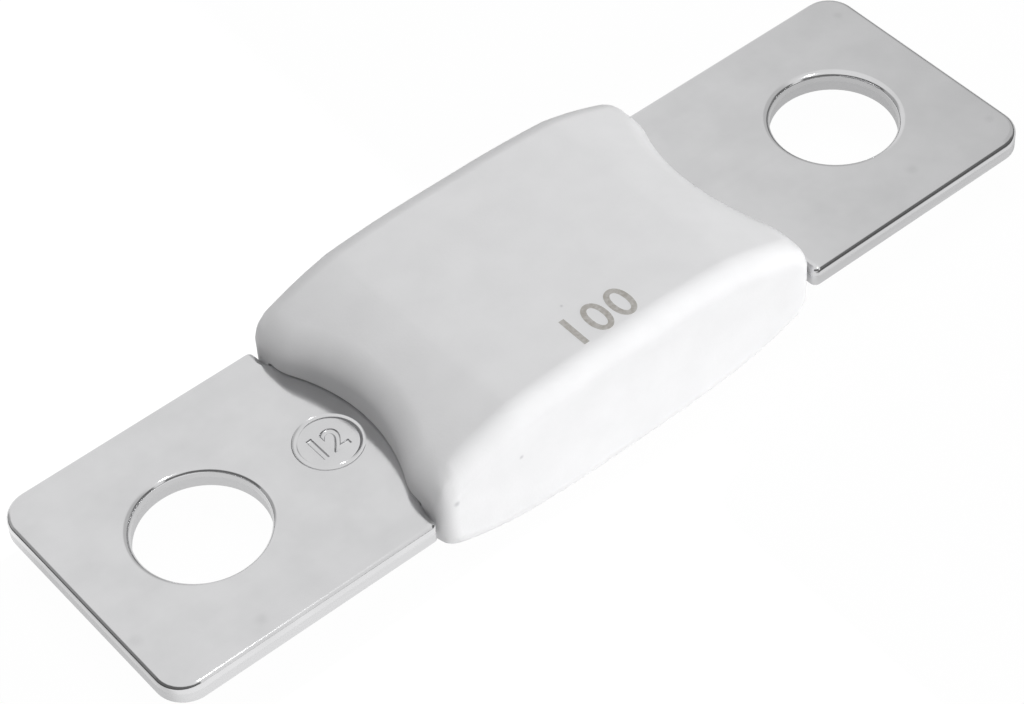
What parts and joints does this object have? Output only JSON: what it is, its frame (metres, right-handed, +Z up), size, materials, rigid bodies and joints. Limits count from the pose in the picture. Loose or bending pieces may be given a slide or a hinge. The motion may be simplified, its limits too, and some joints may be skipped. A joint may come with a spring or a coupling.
{
  "type": "bolt down strip fuse",
  "caption": "Plated strip fuse: a flat blade with a round bolt hole reaches out of each end of a white moulded housing with scooped ends and a crowned top.",
  "frame": {"origin": "on the surface that the lower shell of the housing rests on, under the middle of the strip", "axes": "+X along the strip from one bolt hole to the other, +Y across the blades, +Z up, square to the blades' flat faces"},
  "size_m": [0.068, 0.019, 0.0104],
  "materials": {
    "plated_strip": "satin",
    "housing": "matte",
    "tin": "satin"
  },
  "bodies": {
    "root": {"fuse_strip": "plated_strip", "upper_housing": "housing", "lower_housing": "housing", "tin_spot": "tin"}
  },
  "joints": []
}
